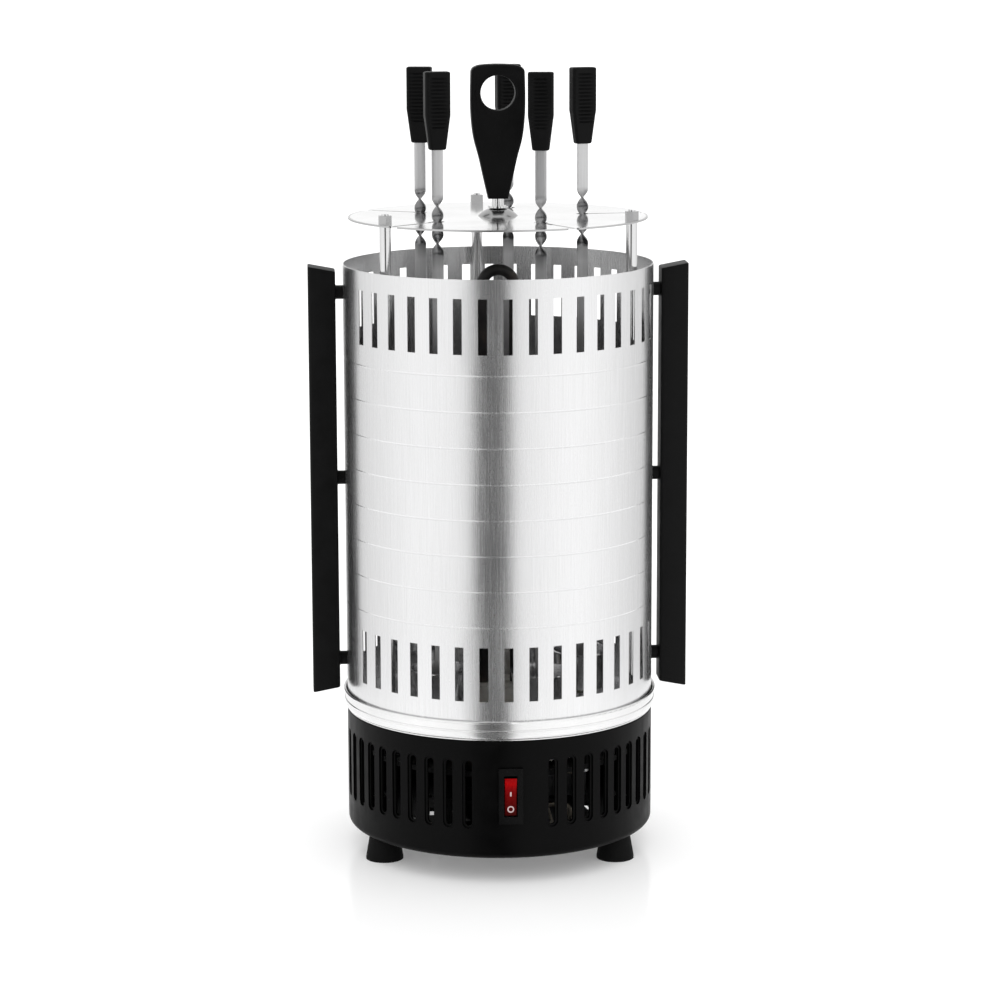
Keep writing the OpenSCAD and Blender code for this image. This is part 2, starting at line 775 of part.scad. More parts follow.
module skewer_grip(i) {
    color([0.05, 0.05, 0.05]) skewer_place(i) translate([0, 0, grip_z0]) difference() {
        intersection() {
            rotate([90, 0, 0]) linear_extrude(height = grip_t, center = true)
                grip_outline(grip_w, grip_bottom_w);
            rotate([90, 0, 90]) linear_extrude(height = grip_w, center = true)
                grip_outline(grip_t, grip_bottom_t);
        }
        for (s = [-1, 1], k = [0:rib_count - 1])
            translate([-grip_w * 0.3, s * grip_t / 2 - rib_depth, rib_z0 + rib_pitch * k])
                cube([grip_w * 0.6, 2 * rib_depth, rib_w]);
        translate([-blade_w / 2, -blade_t / 2, -1])
            cube([blade_w, blade_t, blade_in_grip + 1]);
    }
}

// ---------------------------------------------------------------- tray, posts, top

module tray_profile() {
    r = drum_r;
    foot = [tray_wall_r - tray_round_r, base_z1 + tray_round_r];
    polygon(concat(
        [[socket_r - 3, base_z1], [r, base_z1]],
        arc(foot, tray_round_r, -tray_round_a, 0),
        [[tray_wall_r, base_z1 + tray_wall_h], [tray_wall_r - tray_t, base_z1 + tray_wall_h],
         [tray_wall_r - tray_t, shelf_z], [r - 1.6, shelf_z], [r - 2.6, base_z1 + tray_t],
         [socket_r - 3, base_z1 + tray_t]]));
    translate([tray_wall_r - 0.3, tray_bead_z]) circle(r = tray_bead_r, $fn = 32);
    translate([tray_wall_r - 0.05, base_z1 + tray_wall_h]) circle(r = tray_hem_r, $fn = 32);
}

module drip_tray() {
    color([0.85, 0.85, 0.86]) difference() {
        union() {
            rotate_extrude() tray_profile();
            for (i = copies) out_at(skewer_angle(i), skewer_r)
                translate([0, 0, base_z1]) cylinder(r = shaft_r + tray_collar_w, h = 4);
        }
        for (i = copies) out_at(skewer_angle(i), skewer_r)
            translate([0, 0, base_z1 - cut]) cylinder(r = shaft_r + tray_hole_gap, h = 8);
        for (k = threes) out_at(post_start + third * k, post_pitch_r)
            translate([0, 0, base_z1 - 1]) cylinder(r = stud_r + clear_gap, h = 3);
    }
}

module post(k) {
    color([0.8, 0.8, 0.82]) out_at(post_start + third * (k - 1), post_pitch_r) {
        z0 = base_z1 + tray_t;
        stud_z0 = base_z1 - 8;
        translate([0, 0, z0]) cylinder(r = post_r, h = disc_z - z0);
        translate([0, 0, stud_z0]) cylinder(r = stud_r, h = disc_top + nut_h + 1 - stud_z0);
    }
}

module post_nuts() {
    color([0.8, 0.8, 0.82]) for (k = threes) out_at(post_start + third * k, post_pitch_r)
        translate([0, 0, disc_top]) hex_nut(nut_af, nut_h, stud_r);
}

module tray_nuts() {
    color("silver") for (k = threes) out_at(post_start + third * k, post_pitch_r)
        translate([0, 0, base_z1 - top_ring_t - tray_nut_h]) hex_nut(nut_af, tray_nut_h, stud_r);
}

// A notch in the disc: a round seat for the skewer and a narrow slot for its flat blade,
// whose mouth is rounded at the disc's edge
module notch() {
    mouth_x = disc_r - skewer_r - mouth_r;
    circle(r = notch_r);
    translate([0, -notch_slot_w / 2]) square([disc_r, notch_slot_w]);
    difference() {
        translate([mouth_x, -notch_slot_w / 2 - mouth_r])
            square([disc_r, notch_slot_w + 2 * mouth_r]);
        for (s = [-1, 1]) translate([mouth_x, s * (notch_slot_w / 2 + mouth_r)])
            circle(r = mouth_r);
    }
}

module top_disc() {
    color([0.86, 0.86, 0.88]) translate([0, 0, disc_z]) linear_extrude(height = disc_t)
        difference() {
            circle(r = disc_r, $fn = 180);
            circle(r = stem_stud_r);
            for (i = copies) out_at(skewer_angle(i), skewer_r) notch();
            for (k = threes) out_at(post_start + third * k, post_pitch_r)
                circle(r = stud_r);
        }
}

module disc_boss() {
    ball_r = (dome_r * dome_r + dome_h * dome_h) / (2 * dome_h);
    color([0.8, 0.8, 0.82]) difference() {
        translate([0, 0, disc_top]) intersection() {
            translate([0, 0, dome_h - ball_r]) sphere(r = ball_r);
            cylinder(r = dome_r + 1, h = dome_h - dome_cut);
        }
        translate([0, 0, disc_z]) cylinder(r = stem_stud_r, h = 20);
    }
}

// The stem under the lift handle: a washer, a neck and a threaded end each way
module handle_stem() {
    z0 = disc_top + dome_h - dome_cut;
    stud_z0 = disc_z - stem_nut_h - 1;
    color([0.8, 0.8, 0.82]) {
        translate([0, 0, z0]) cylinder(r = stem_washer_r, h = stem_washer_t);
        translate([0, 0, z0]) cylinder(r = stem_r, h = plate_z0 - z0);
        translate([0, 0, stud_z0])
            cylinder(r = stem_stud_r, h = plate_z0 + stem_in_handle - stud_z0);
    }
}

module stem_nut() {
    color("silver") translate([0, 0, disc_z - stem_nut_h])
        hex_nut(stem_nut_af, stem_nut_h, stem_stud_r);
}

// Front view of the lift handle: narrow at the neck, widest near the hole
module plate_outline() {
    side = [[5.7, 0], [8.4, 11.9], [11, 23.6], [14, 35.1], [15.4, 47.1], [15.7, 58.6],
            [15.4, 73]];
    top = side[len(side) - 1];
    corner = [top[0] - plate_corner_r, top[1]];
    other_side = [for (k = [len(side) - 1:-1:0]) [-side[k][0], side[k][1]]];
    polygon(concat(side, arc(corner, plate_corner_r, 0, 78, 6),
                   arc([-corner[0], corner[1]], plate_corner_r, 102, 180, 6), other_side));
}

module lift_handle() {
    color([0.05, 0.05, 0.05]) translate([0, 0, plate_z0]) difference() {
        rotate([90, 0, 0]) linear_extrude(height = plate_t, center = true) plate_outline();
        translate([0, 0, plate_hole_z - plate_z0]) rotate([90, 0, 0])
            cylinder(r = plate_hole_r, h = plate_t + 2, center = true);
        translate([0, 0, -1]) cylinder(r = stem_stud_r, h = stem_in_handle + 1);
    }
}

// ---------------------------------------------------------------- heating element

module heater_element() {
    loop_z = heater_top_z - heater_tube_r - heater_loop_r;
    z0 = heater_leg_z;
    color([0.15, 0.15, 0.15]) {
        translate([0, 0, loop_z]) rotate([90, 0, 0]) rotate_extrude(angle = 180)
            translate([heater_loop_r, 0]) circle(r = heater_tube_r, $fn = 48);
        for (s = [-1, 1]) translate([s * heater_loop_r, 0, z0]) {
            cylinder(r = heater_tube_r, h = loop_z - z0);
            translate([0, 0, -heater_pin_h]) cylinder(r = heater_pin_r, h = heater_pin_h);
        }
    }
}

module heater_socket() {
    color([0.9, 0.88, 0.84]) difference() {
        union() {
            translate([0, 0, base_z1 + tray_t]) cylinder(r = socket_r, h = socket_h);
            translate([0, 0, spigot_z0])
                cylinder(r = hub_in_r - clear_gap, h = base_z1 + 2 - spigot_z0);
        }
        for (s = [-1, 1]) translate([s * heater_loop_r, 0, deck_z])
            cylinder(r = heater_tube_r, h = base_h);
    }
}

// ---------------------------------------------------------------- drum

module drum_profile() {
    polygon([[drum_r - drum_wall, drum_z0], [drum_r, drum_z0], [drum_r, rim_z],
             [drum_r - drum_wall, rim_z]]);
}

module slot_row(z) {
    for (side = [0, 180], k = [0:slots_per_half - 1])
        out_at(side + slot_mid + (k - (slots_per_half - 1) / 2) * slot_pitch, drum_r - 3)
            translate([0, -slot_w / 2, z]) cube([6, slot_w, slot_h]);
}

module drum_shell() {
    color([0.78, 0.78, 0.8]) difference() {
        rotate_extrude($fn = 180) drum_profile();
        slot_row(upper_slot_z);
        slot_row(lower_slot_z);
        for (k = [0:groove_count - 1]) translate([0, 0, groove_z0 + groove_step * k])
            rotate_extrude($fn = 180) polygon([
                [drum_r + 1, -groove_w / 2], [drum_r, -groove_w / 2],
                [drum_r - groove_depth, 0], [drum_r, groove_w / 2],
                [drum_r + 1, groove_w / 2]]);
        for (a = [90, 270], z = peg_up) out_at(a) translate([drum_r - 5, 0, z])
            rotate([0, 90, 0]) cylinder(r = screw_r + clear_gap, h = 10, $fn = 32);
    }
}

// Front view of a drum handle: a bar with slanted ends
module handle_outline() {
    x0 = handle_reach - handle_t;
    polygon([[x0, handle_z0 + handle_slant], [x0, handle_z1 - handle_slant],
             [handle_reach - handle_edge, handle_z1], [handle_reach, handle_z1 - handle_edge],
             [handle_reach, handle_z0 + handle_edge], [handle_reach - handle_edge, handle_z0]]);
}

module drum_handle() {
    color([0.06, 0.06, 0.06]) difference() {
        union() {
            rotate([90, 0, 0]) linear_extrude(height = handle_w, center = true)
                handle_outline();
            for (z = peg_up) difference() {
                translate([drum_r - 1, 0, z]) rotate([0, 90, 0])
                    cylinder(r = peg_r, h = handle_reach - handle_t + 2 - drum_r);
                cylinder(r = drum_r, h = rim_z + 20, $fn = 180);
            }
        }
        for (z = peg_up) translate([drum_r - 2, 0, z]) rotate([0, 90, 0])
            cylinder(r = screw_r, h = 17, $fn = 32);
    }
}

module drum_handle_right() {
    drum_handle();
}

module drum_handle_left() {
    rotate([0, 0, 180]) drum_handle();
}

// Screws from inside the drum into the handles
module handle_screws() {
    color("silver") for (a = [0, 180], z = peg_up) rotate([0, 0, a])
        translate([drum_r - drum_wall - screw_head_h - 0.1, 0, z]) rotate([0, 90, 0])
            difference() {
                screw(peg_screw_l);
                translate([0, 0, -0.1]) cylinder(r = key_r, h = 0.8, $fn = 6);
            }
}

// ---------------------------------------------------------------- the whole grill

base_housing();
base_cover();
for (k = [1:3]) foot(k);
foot_screws();
switch_body();
switch_rocker();
switch_terminals();
cord_gland();
terminal_block();
switch_leads();
heater_leads();
drive_motor();
motor_screws();
motor_shaft();
motor_pinion();
drive_gear();
gear_retainer();
gear_deck();
deck_screws();
shaft_bushes();
for (i = copies) cup_gear(i);
for (i = copies) drip_cup(i);
for (i = copies) skewer_blade(i);
for (i = copies) skewer_grip(i);
drip_tray();
for (k = [1:3]) post(k);
post_nuts();
tray_nuts();
top_disc();
disc_boss();
handle_stem();
stem_nut();
lift_handle();
heater_element();
heater_socket();
drum_shell();
drum_handle_right();
drum_handle_left();
handle_screws();
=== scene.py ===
import json
from math import atan2, cos, hypot, pi, radians, sin, sqrt, tan

import bpy
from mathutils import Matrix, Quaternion, Vector


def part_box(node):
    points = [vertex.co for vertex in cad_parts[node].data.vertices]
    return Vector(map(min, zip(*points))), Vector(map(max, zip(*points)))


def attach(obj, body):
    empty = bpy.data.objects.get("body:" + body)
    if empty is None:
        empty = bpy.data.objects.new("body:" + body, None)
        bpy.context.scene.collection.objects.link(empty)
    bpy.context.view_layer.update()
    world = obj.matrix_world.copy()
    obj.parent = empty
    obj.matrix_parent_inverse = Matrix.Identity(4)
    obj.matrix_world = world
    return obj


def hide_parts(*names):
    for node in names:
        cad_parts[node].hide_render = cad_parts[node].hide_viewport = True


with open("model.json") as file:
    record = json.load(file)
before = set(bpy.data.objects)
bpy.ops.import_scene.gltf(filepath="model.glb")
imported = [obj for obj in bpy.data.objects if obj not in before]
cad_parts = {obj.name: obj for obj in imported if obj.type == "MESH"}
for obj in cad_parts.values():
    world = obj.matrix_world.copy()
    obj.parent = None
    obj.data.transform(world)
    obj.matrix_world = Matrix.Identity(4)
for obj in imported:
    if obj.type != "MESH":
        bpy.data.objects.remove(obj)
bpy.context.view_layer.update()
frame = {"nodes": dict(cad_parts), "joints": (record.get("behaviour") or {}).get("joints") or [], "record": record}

MM = 0.001
scene = bpy.context.scene
scene.view_settings.view_transform = "Standard"


# ---------------------------------------------------------------- materials

class Finish:
    """A Principled material, with short calls for the nodes that pattern it."""

    def __init__(self, name, metallic=0.0, **constants):
        self.material = bpy.data.materials.new(name)
        # an export without baking falls back on this base colour
        self.material.diffuse_color = (0.5, 0.5, 0.5, 1)
        self.material.use_nodes = True
        self.tree = self.material.node_tree
        self.shader = self.tree.nodes["Principled BSDF"]
        self.shader.inputs["Metallic"].default_value = metallic
        for socket, value in constants.items():
            self.shader.inputs[socket.replace("_", " ")].default_value = value
        self.place = self.tree.nodes.new("ShaderNodeTexCoord").outputs["Object"]

    def node(self, kind, inputs=(), **settings):
        made = self.tree.nodes.new(kind)
        for key, value in settings.items():
            setattr(made, key, value)
        for key, value in dict(inputs).items():
            if isinstance(value, bpy.types.NodeSocket):
                self.tree.links.new(value, made.inputs[key])
            else:
                made.inputs[key].default_value = value
        return made

    def noise(self, scale, stretch=(1, 1, 1), detail=3.0, rough=0.5):
        """Noise of about 1 / scale metres, from 0 to 1; stretch is a factor for each axis."""
        where = self.node("ShaderNodeMapping", {"Vector": self.place, "Scale": stretch})
        made = self.node("ShaderNodeTexNoise", {"Vector": where.outputs[0], "Scale": scale,
                                                "Detail": detail, "Roughness": rough})
        return made.outputs[0]

    def cells(self, scale):
        """Distance from the middle of the nearest cell, of about 1 / scale metres."""
        made = self.node("ShaderNodeTexVoronoi", {"Vector": self.place, "Scale": scale})
        return made.outputs["Distance"]

    def bands(self, scale, axis, distortion):
        """Bands across an axis, from 0 to 1."""
        made = self.node("ShaderNodeTexWave", {"Vector": self.place, "Scale": scale,
                                               "Distortion": distortion},
                         bands_direction=axis)
        return made.outputs["Fac"]

    def spread(self, value, low, high, start=0.0, end=1.0):
        """value, mapped from start..end to low..high."""
        made = self.node("ShaderNodeMapRange", {"Value": value, "From Min": start,
                                                "From Max": end, "To Min": low, "To Max": high})
        return made.outputs[0]

    def maths(self, operation, a, b):
        return self.node("ShaderNodeMath", {0: a, 1: b}, operation=operation).outputs[0]

    def height(self):
        return self.node("ShaderNodeSeparateXYZ", {"Vector": self.place}).outputs["Z"]

    def blend(self, share, low, high):
        """A colour from low, where share is 0, to high, where it is 1."""
        made = self.node("ShaderNodeMix", {0: share, 6: low, 7: high}, data_type="RGBA")
        return made.outputs[2]

    def ramp(self, value, *stops):
        """Colours along value; each stop is (position, colour)."""
        made = self.node("ShaderNodeValToRGB", {"Fac": value})
        points = made.color_ramp.elements
        for point, (position, colour) in zip(points, stops):
            point.position, point.color = position, (*colour, 1)
        for position, colour in stops[2:]:
            points.new(position).color = (*colour, 1)
        return made.outputs[0]

    def colour(self, socket):
        self.tree.links.new(socket, self.shader.inputs["Base Color"])

    def roughness(self, socket):
        self.tree.links.new(socket, self.shader.inputs["Roughness"])

    def relief(self, *layers):
        """Bump from (height 0..1, depth in metres) layers."""
        normal = None
        for height, depth in layers:
            inputs = {"Height": height, "Strength": 1.0, "Distance": depth}
            if normal is not None:
                inputs["Normal"] = normal
            normal = self.node("ShaderNodeBump", inputs).outputs[0]
        self.tree.links.new(normal, self.shader.inputs["Normal"])


def grey(value, tint=0.0):
    return (value, value, value * (1 + tint))


def moulded_plastic(name, shade, grain=1400, gloss=(0.34, 0.46), specular=0.22):
    """Satin moulded plastic: a fine spark-eroded skin and a slight mottle."""
    f = Finish(name, Specular_IOR_Level=specular)
    mottle = f.noise(90, detail=4)
    skin = f.noise(grain, detail=2)
    f.colour(f.ramp(mottle, (0.3, grey(shade * 0.8)), (0.7, grey(shade * 1.25, 0.04))))
    f.roughness(f.spread(mottle, *gloss, 0.3, 0.7))
    f.relief((skin, 0.03 * MM), (mottle, 0.04 * MM))
    return f.material


def rubber(name, shade):
    """Matt rubber with dust lying in its grain."""
    f = Finish(name, Specular_IOR_Level=0.1)
    dust = f.noise(420, detail=5)
    f.colour(f.ramp(dust, (0.35, grey(shade)), (0.75, grey(shade * 2.2))))
    f.roughness(f.spread(dust, 0.55, 0.8, 0.3, 0.7))
    f.relief((f.noise(1800, detail=2), 0.04 * MM))
    return f.material


def brushed_sheet(name, shade, gloss, grain=(1, 1, 0.012), scale=2200, depth=0.012):
    """Sheet steel with a fine grain drawn out along the axis where grain is small."""
    f = Finish(name, metallic=1.0, Anisotropic=0.3)
    lines = f.noise(scale, stretch=grain, detail=3, rough=0.6)
    speck = f.noise(2600, detail=2)
    cloud = f.noise(14, detail=3)
    mixed = f.maths("ADD", f.maths("MULTIPLY", lines, 0.6), f.maths("MULTIPLY", speck, 0.4))
    low, high = gloss
    f.colour(f.ramp(mixed, (0.3, grey(shade * 0.9)), (0.7, grey(shade * 1.04, 0.01))))
    f.roughness(f.maths("ADD", f.spread(mixed, low, high, 0.3, 0.7),
                        f.spread(cloud, -0.02, 0.02, 0.3, 0.7)))
    f.relief((lines, depth * MM), (speck, 0.5 * depth * MM))
    return f.material


# the stretch of blade painted dark, a painted shade over the twisted lobes, measured down from the grip, and how
# far it fades
TWIST_SHADE_FROM, TWIST_SHADE_TO = 68 * MM, 25 * MM
TWIST_SHADE_FADE_LOW, TWIST_SHADE_FADE_HIGH = 9 * MM, 5 * MM


def twisted_blade(name):
    """Blade steel: bright along the flats, and painted dark along the twisted stretch, a painted shade for the
    lobes' darker reflections.
    """
    f = Finish(name, metallic=1.0, Anisotropic=0.3)
    grip_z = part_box("skewer_grip_1")[0].z
    low, high = grip_z - TWIST_SHADE_FROM, grip_z - TWIST_SHADE_TO
    lines = f.noise(2200, stretch=(1, 1, 0.012), detail=3, rough=0.6)
    cloud = f.noise(160, detail=5)
    height = f.height()
    enter = f.spread(height, 0, 1, low, low + TWIST_SHADE_FADE_LOW)
    leave = f.spread(height, 1, 0, high - TWIST_SHADE_FADE_HIGH, high)
    # painted shade: how far the blade's colour turns to the dark grey of the twisted stretch
    twist_shade = f.maths("MULTIPLY", f.maths("MULTIPLY", enter, leave),
                     f.spread(cloud, 0.75, 1.0, 0.35, 0.6))
    bright = f.ramp(lines, (0.3, grey(0.54)), (0.7, grey(0.62, 0.01)))
    # the painted shade's dark grey
    twist_shade_grey = f.ramp(cloud, (0.3, grey(0.16)), (0.7, grey(0.24, 0.02)))
    f.colour(f.blend(twist_shade, bright, twist_shade_grey))
    f.roughness(f.maths("ADD", f.spread(lines, 0.34, 0.42, 0.3, 0.7),
                        f.maths("MULTIPLY", twist_shade, -0.04)))
    f.relief((lines, 0.008 * MM), (cloud, 0.02 * MM))
    return f.material


def polished_metal(name, shade, gloss, rings=None, tint=0.0):
    """Polished metal with faint wipe marks and, if rings is given, lathe lines."""
    f = Finish(name, metallic=1.0)
    haze = f.noise(45, detail=5, rough=0.6)
    wipes = f.noise(300, stretch=(1, 0.06, 1), detail=3)
    f.colour(f.ramp(haze, (0.3, grey(shade * 0.95, tint)), (0.7, grey(shade * 1.03, tint))))
    low, high = gloss
    f.roughness(f.maths("ADD", f.spread(haze, low, high, 0.35, 0.7),
                        f.spread(wipes, 0, 0.03, 0.5, 0.8)))
    layers = [(haze, 0.004 * MM)]
    if rings:
        layers.append((f.noise(rings, stretch=(0.02, 0.02, 1), detail=2), 0.006 * MM))
    f.relief(*layers)
    return f.material


DISC_RIM_SHADE_FROM, DISC_RIM_SHADE_TO = 1.5 * MM, 0.8 * MM    # where the edge's painted shade and roughness begin and are full, in from the rim


def polished_disc(name):
    """The top disc: polished, clouded by handling, and rougher along its deburred edge, where its colour is
    painted darker as a painted shade line round the rim.
    """
    f = Finish(name, metallic=1.0)
    low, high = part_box("top_disc")
    rim = (high.x - low.x) / 2
    plan = f.node("ShaderNodeVectorMath", {0: f.place, 1: (1, 1, 0)}, operation="MULTIPLY")
    out = f.node("ShaderNodeVectorMath", {0: plan.outputs[0]}, operation="LENGTH")
    edge = f.spread(out.outputs["Value"], 0, 1, rim - DISC_RIM_SHADE_FROM, rim - DISC_RIM_SHADE_TO)
    haze = f.noise(22, detail=5, rough=0.55)
    wipes = f.noise(260, stretch=(1, 0.05, 1), detail=3)
    clear = f.ramp(haze, (0.3, grey(0.74)), (0.62, grey(0.86)))
    # painted shade: the colour is blended to mid grey along the rim
    f.colour(f.blend(edge, clear, (*grey(0.5), 1)))
    f.roughness(f.maths("ADD", f.spread(haze, 0.13, 0.08, 0.35, 0.65),
                        f.maths("ADD", f.spread(wipes, 0, 0.04, 0.5, 0.8),
                                f.maths("MULTIPLY", edge, 0.2))))
    f.relief((haze, 0.004 * MM))
    return f.material


def oxidised_tube(name):
    """The heater's dark oxidised sheath, with brown heat marks and a dry surface."""
    f = Finish(name, metallic=0.35, Specular_IOR_Level=0.35)
    marks = f.noise(60, detail=6, rough=0.62)
    scale = f.noise(900, detail=3)
    f.colour(f.ramp(marks, (0.3, (0.012, 0.012, 0.013)), (0.55, (0.03, 0.028, 0.027)),
                    (0.8, (0.075, 0.055, 0.042))))
    f.roughness(f.spread(scale, 0.3, 0.55, 0.3, 0.7))
    f.relief((scale, 0.03 * MM), (marks, 0.05 * MM))
    return f.material


def glazed_ceramic(name):
    """Fired ceramic under a thin glaze, with specks in it."""
    f = Finish(name, Coat_Weight=0.6, Coat_Roughness=0.12)
    cloud = f.noise(70, detail=4)
    specks = f.cells(260)
    f.colour(f.ramp(f.maths("MULTIPLY", cloud, f.spread(specks, 0.8, 1.0, 0.05, 0.12)),
                    (0.3, (0.66, 0.62, 0.55)), (0.6, (0.86, 0.84, 0.79))))
    f.roughness(f.spread(cloud, 0.2, 0.4, 0.3, 0.7))
    f.relief((cloud, 0.05 * MM))
    return f.material


def nylon(name):
    """Natural nylon, slightly clear, with the moulding's flow lines."""
    f = Finish(name, Subsurface_Weight=0.15, Specular_IOR_Level=0.4)
    f.shader.inputs["Subsurface Radius"].default_value = (0.002, 0.002, 0.0015)
    flow = f.noise(120, stretch=(1, 1, 0.3), detail=4)
    f.colour(f.ramp(flow, (0.3, (0.68, 0.66, 0.58)), (0.7, (0.84, 0.83, 0.78))))
    f.roughness(f.spread(flow, 0.35, 0.55, 0.3, 0.7))
    f.relief((f.noise(1500, detail=2), 0.02 * MM))
    return f.material


def plated(name, low, high, gloss, spangle=320):
    """Zinc or brass with the broken-up look of plating or drawn stock."""
    f = Finish(name, metallic=1.0)
    cells = f.cells(spangle)
    cloud = f.noise(200, detail=4)
    both = f.maths("ADD", f.maths("MULTIPLY", cells, 0.5), f.maths("MULTIPLY", cloud, 0.6))
    f.colour(f.ramp(both, (0.25, low), (0.75, high)))
    f.roughness(f.spread(both, *gloss, 0.2, 0.8))
    f.relief((cloud, 0.02 * MM))
    return f.material


def braided_sleeve(name):
    """Glass-fibre sleeving: two crossed sets of fine bands."""
    f = Finish(name, Specular_IOR_Level=0.3)
    weave = f.maths("MULTIPLY", f.bands(900, "Z", 2.0), f.bands(900, "DIAGONAL", 2.0))
    # painted shade: the weave's colours are darker than the sleeving's own, so that the base's inside reads dark
    f.colour(f.ramp(weave, (0.1, (0.16, 0.14, 0.11)), (0.7, (0.42, 0.38, 0.31))))
    f.roughness(f.spread(weave, 0.8, 0.6))
    f.relief((weave, 0.1 * MM))
    return f.material


def red_with_painted_light(name):
    """Red plastic with painted light: its colour is brightest near its upper end and darkens downwards."""
    f = Finish(name, Specular_IOR_Level=0.06)
    low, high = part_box("switch_rocker")
    grain = f.noise(900, detail=4)
    # painted light and shade: the height up the rocker sets how bright its red is
    along = f.spread(f.height(), 0.0, 1.0, low.z, high.z)
    mixed = f.maths("ADD", along, f.spread(grain, -0.05, 0.05, 0.3, 0.7))
    f.colour(f.ramp(mixed, (0.05, (0.05, 0.0, 0.0)), (0.4, (0.11, 0.0, 0.0)),
                    (0.7, (0.19, 0.0, 0.001)), (0.85, (0.34, 0.0, 0.001)),
                    (0.97, (0.26, 0.0, 0.001))))
    f.roughness(f.spread(grain, 0.2, 0.32, 0.3, 0.7))
    f.relief((grain, 0.01 * MM))
    return f.material


def printed_mark(name):
    """White ink, thin enough for a little of the red to come through."""
    f = Finish(name, Specular_IOR_Level=0.3)
    ink = f.noise(2500, detail=3)
    f.colour(f.ramp(ink, (0.25, (0.42, 0.27, 0.27)), (0.6, (0.68, 0.55, 0.55))))
    f.roughness(f.spread(ink, 0.35, 0.55))
    f.relief((ink, 0.01 * MM))
    return f.material


FINISHES = {
    "base_plastic": moulded_plastic("base_plastic", 0.0016, specular=0.06),
    "grip_plastic": moulded_plastic("grip_plastic", 0.003, gloss=(0.4, 0.52), specular=0.1),
    "foot_rubber": rubber("foot_rubber", 0.0022),
    "switch_plastic": moulded_plastic("switch_plastic", 0.003, gloss=(0.2, 0.3), specular=0.1),
    "rocker_red": red_with_painted_light("rocker_red"),
    "drum_steel": brushed_sheet("drum_steel", 0.78, (0.2, 0.3)),
    "disc_steel": polished_disc("disc_steel"),
    "post_steel": polished_metal("post_steel", 0.72, (0.1, 0.17), rings=1500),
    "tray_steel": polished_metal("tray_steel", 0.8, (0.2, 0.27), rings=1800),
    "cup_steel": brushed_sheet("cup_steel", 0.72, (0.14, 0.24), grain=(0.05, 0.05, 1)),
    "blade_steel": twisted_blade("blade_steel"),
    "heater_metal": oxidised_tube("heater_metal"),
    "white_ceramic": glazed_ceramic("white_ceramic"),
    "gear_nylon": nylon("gear_nylon"),
    "deck_plastic": moulded_plastic("deck_plastic", 0.006, specular=0.1),
    "zinc_steel": plated("zinc_steel", grey(0.5), grey(0.68), (0.25, 0.42)),
    "bush_bronze": plated("bush_bronze", (0.42, 0.28, 0.12), (0.62, 0.44, 0.22), (0.35, 0.55)),
    "terminal_brass": plated("terminal_brass", (0.62, 0.45, 0.18), (0.82, 0.64, 0.32),
                             (0.25, 0.4)),
    "block_plastic": moulded_plastic("block_plastic", 0.6, gloss=(0.4, 0.55), specular=0.4),
    "lead_sleeve": braided_sleeve("lead_sleeve"),
}
MARKS = printed_mark("printed_mark")
# nodes whose finish is a duller, darker copy of their slot's; the darkening is painted shade: the boss and nuts
# show darker reflections, and the motor and the cream terminal block read dark through the base's vents
PAINTED_SHADE_COPIES = {
    "post_nuts": polished_metal("shaded_post_nut_steel", 0.42, (0.2, 0.3), rings=1500),
    "disc_boss": polished_metal("shaded_boss_steel", 0.36, (0.2, 0.28), rings=1500),
    "drive_motor": plated("shaded_motor_can", grey(0.1), grey(0.2), (0.35, 0.5)),
    "terminal_block": moulded_plastic("terminal_block", 0.07, gloss=(0.4, 0.55)),
}

for part in frame["record"]["subparts"]:
    mesh = frame["nodes"][part["node"]].data
    mesh.materials.clear()
    mesh.materials.append(PAINTED_SHADE_COPIES.get(part["node"], FINISHES[part["material_slot"]]))


# ---------------------------------------------------------------- shapes

def smooth(t):
    t = min(max(t, 0.0), 1.0)
    return t * t * (3 - 2 * t)


def make_piece(name, points, faces, body, slot, replaced=(), sharp=35):
    """A mesh piece from points in millimetres, riding on a body."""
    mesh = bpy.data.meshes.new(name)
    mesh.from_pydata([Vector(p) * MM for p in points], [], faces)
    mesh.validate()
    mesh.polygons.foreach_set("use_smooth", [True] * len(mesh.polygons))
    mesh.set_sharp_from_angle(angle=radians(sharp))
    mesh.materials.append(FINISHES[slot])
    piece = bpy.data.objects.new(name, mesh)
    scene.collection.objects.link(piece)
    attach(piece, body)
    if replaced:
        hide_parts(*replaced)
    return piece


def loft(rings, closed=False):
    """Points and faces of a skin over rings of equal length; its ends are capped unless closed."""
    n = len(rings[0])
    points = [p for ring in rings for p in ring]
    count = len(rings)
    faces = []
    for k in range(count if closed else count - 1):
        a, b = k * n, (k + 1) % count * n
        faces += [(a + i, a + (i + 1) % n, b + (i + 1) % n, b + i) for i in range(n)]
    if not closed:
        faces += [tuple(reversed(range(n))), tuple((count - 1) * n + i for i in range(n))]
    return points, faces


def joined(*parts):
    points, faces = [], []
    for more_points, more_faces in parts:
        start = len(points)
        points += more_points
        faces += [tuple(i + start for i in face) for face in more_faces]
    return points, faces


def rounded_rectangle(a, b, r, corner=5, flat=1):
    """An outline of half sizes a and b with corner radius r, anticlockwise from the right."""
    outline = []
    sides = [(a - r, b - r, 0), (r - a, b - r, 90), (r - a, r - b, 180), (a - r, r - b, 270)]
    for k, (x, y, turn) in enumerate(sides):
        arc = [(x + r * cos(radians(turn + 90 * i / corner)),
                y + r * sin(radians(turn + 90 * i / corner))) for i in range(corner + 1)]
        outline += arc
        if flat > 1:
            nx, ny, turn = sides[(k + 1) % 4]
            end = (nx + r * cos(radians(turn)), ny + r * sin(radians(turn)))
            start = arc[-1]
            outline += [(start[0] + (end[0] - start[0]) * i / flat,
                         start[1] + (end[1] - start[1]) * i / flat) for i in range(1, flat)]
    return outline


